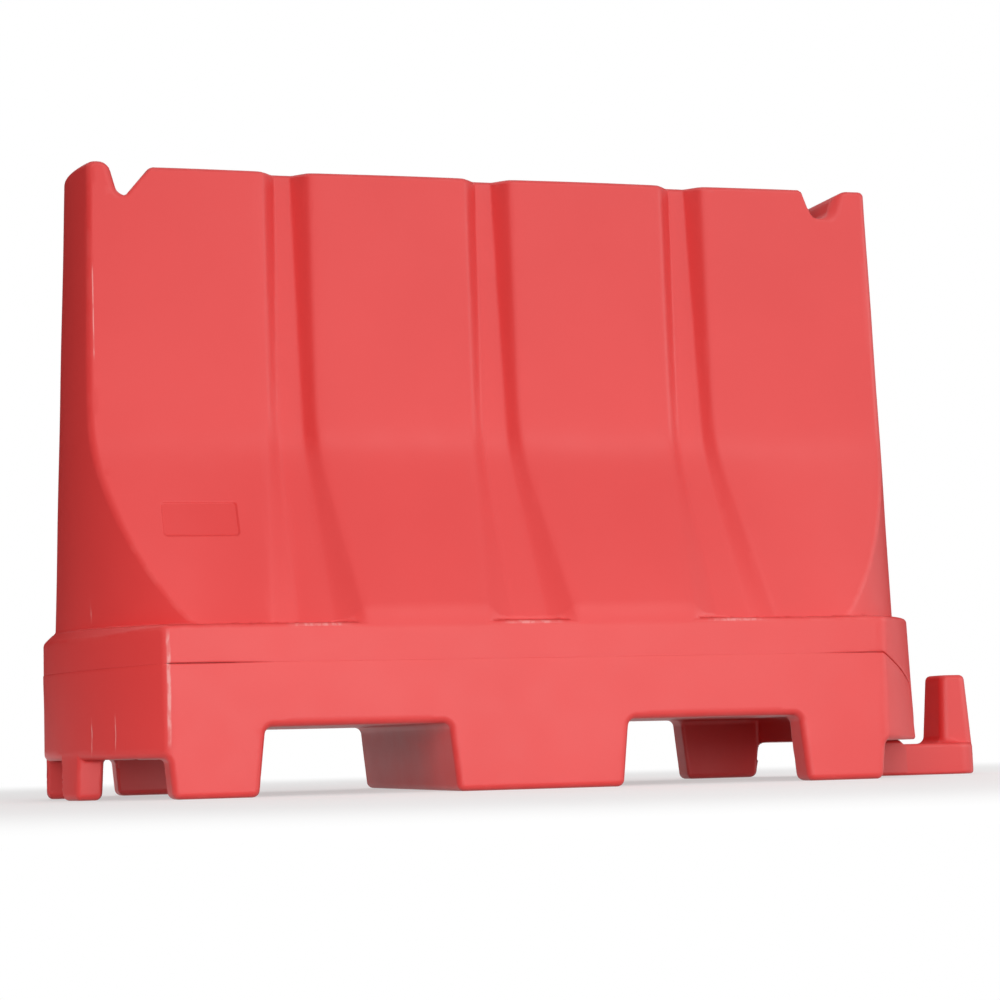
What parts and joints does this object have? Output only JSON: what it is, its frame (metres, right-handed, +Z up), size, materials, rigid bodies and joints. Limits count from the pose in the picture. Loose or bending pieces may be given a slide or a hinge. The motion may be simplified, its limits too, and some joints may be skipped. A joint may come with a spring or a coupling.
{
  "type": "plastic safety barrier",
  "caption": "Hollow water-ballasted plastic road barrier: fluted wall on a flared foot, fork tunnels below, screw filler and drain, and a swivel hook that couples to the next.",
  "frame": {"origin": "on the floor, under the middle of the central foot", "axes": "+X along the barrier towards the coupling hook, -Y towards the front with the bare panel, +Z up"},
  "size_m": [1.2993, 0.4987, 0.817],
  "materials": {
    "red_polyethylene": "satin, rotomoulded",
    "black_plastic": "satin, injection moulded",
    "black_rubber": "matte"
  },
  "bodies": {
    "barrier": {"upper_shell": "red_polyethylene", "base_shell": "red_polyethylene", "filler_neck": "black_plastic", "drain_bush": "black_plastic"},
    "hook": {"coupling_hook": "red_polyethylene"},
    "filler_seal": {"filler_gasket": "black_rubber"},
    "filler_cap": {"filler_cap": "black_plastic"},
    "drain_seal": {"drain_gasket": "black_rubber"},
    "drain_plug": {"drain_plug": "black_plastic"}
  },
  "joints": [
    {"name": "hook_swivel", "type": "hinge", "parent": "barrier", "child": "hook", "pos_m": [0.53, 0, 0.05], "axis": [0, 0, 1], "range_deg": [-15, 15]},
    {"name": "filler_lift", "type": "slide", "parent": "barrier", "child": "filler_seal", "axis": [0, 0, 1], "range_m": [0, 0.024]},
    {"name": "filler_turn", "type": "hinge", "parent": "filler_seal", "child": "filler_cap", "pos_m": [0.1385, 0, 0.802], "axis": [0, 0, 1], "range_deg": [0, 1440]},
    {"name": "drain_lift", "type": "slide", "parent": "barrier", "child": "drain_seal", "axis": [0, 1, 0], "range_m": [0, 0.018]},
    {"name": "drain_turn", "type": "hinge", "parent": "drain_seal", "child": "drain_plug", "pos_m": [0, 0.2395, 0.046], "axis": [0, 1, 0], "range_deg": [0, 1080]}
  ],
  "couplings": [
    {"joint": "filler_lift", "follows": "filler_turn", "m_per_rad": 0.00095492},
    {"joint": "drain_lift", "follows": "drain_turn", "m_per_rad": 0.00095492}
  ]
}
